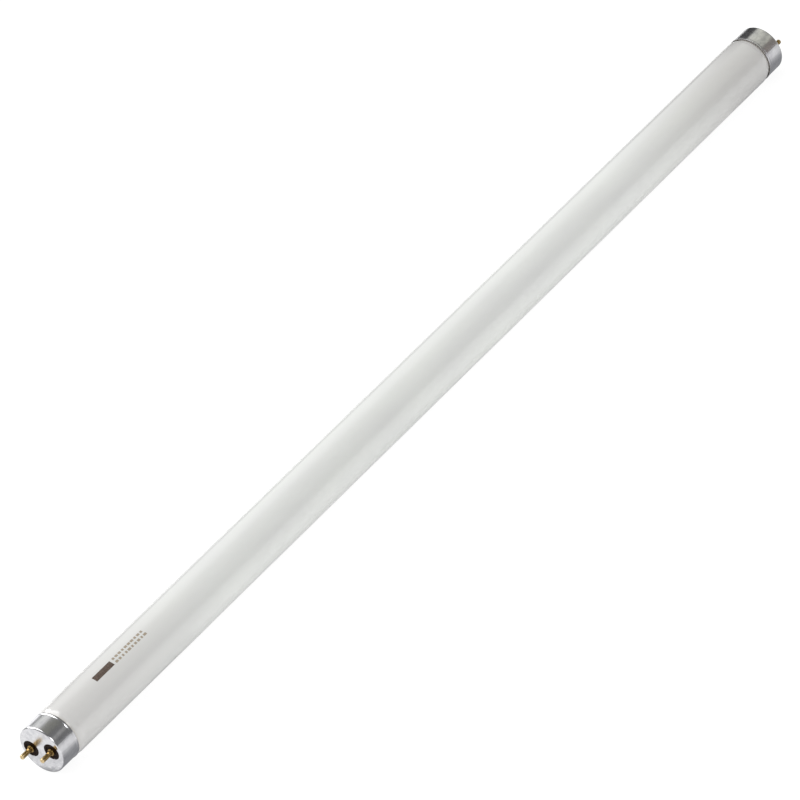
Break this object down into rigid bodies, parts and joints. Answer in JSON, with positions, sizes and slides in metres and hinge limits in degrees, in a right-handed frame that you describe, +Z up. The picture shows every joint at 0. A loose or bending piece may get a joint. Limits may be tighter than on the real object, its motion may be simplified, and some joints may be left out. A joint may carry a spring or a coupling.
{
  "type": "fluorescent tube",
  "caption": "Straight white fluorescent tube with an aluminium end cap and brass contact pins at each end.",
  "frame": {"origin": "middle of the tube's axis", "axes": "+X along the tube, towards the right end; +Y across, in the plane of the contact pins, towards the rear pins; +Z up"},
  "size_m": [0.604, 0.0254, 0.0254],
  "materials": {
    "coated_glass": "clear soda-lime glass over a white coat, glossy",
    "cap_aluminium": "drawn, satin",
    "phenolic": "moulded, dark brown",
    "pin_brass": "drawn, bright",
    "cement": "baked, matt",
    "lead_wire": "nickel-plated"
  },
  "bodies": {
    "root": {"discharge_tube": "coated_glass", "left_cap_shell": "cap_aluminium", "left_insulator": "phenolic", "left_cement_ring": "cement", "left_front_pin": "pin_brass", "left_front_lead_wire": "lead_wire", "left_rear_pin": "pin_brass", "left_rear_lead_wire": "lead_wire", "right_cap_shell": "cap_aluminium", "right_insulator": "phenolic", "right_cement_ring": "cement", "right_front_pin": "pin_brass", "right_front_lead_wire": "lead_wire", "right_rear_pin": "pin_brass", "right_rear_lead_wire": "lead_wire"}
  },
  "joints": []
}
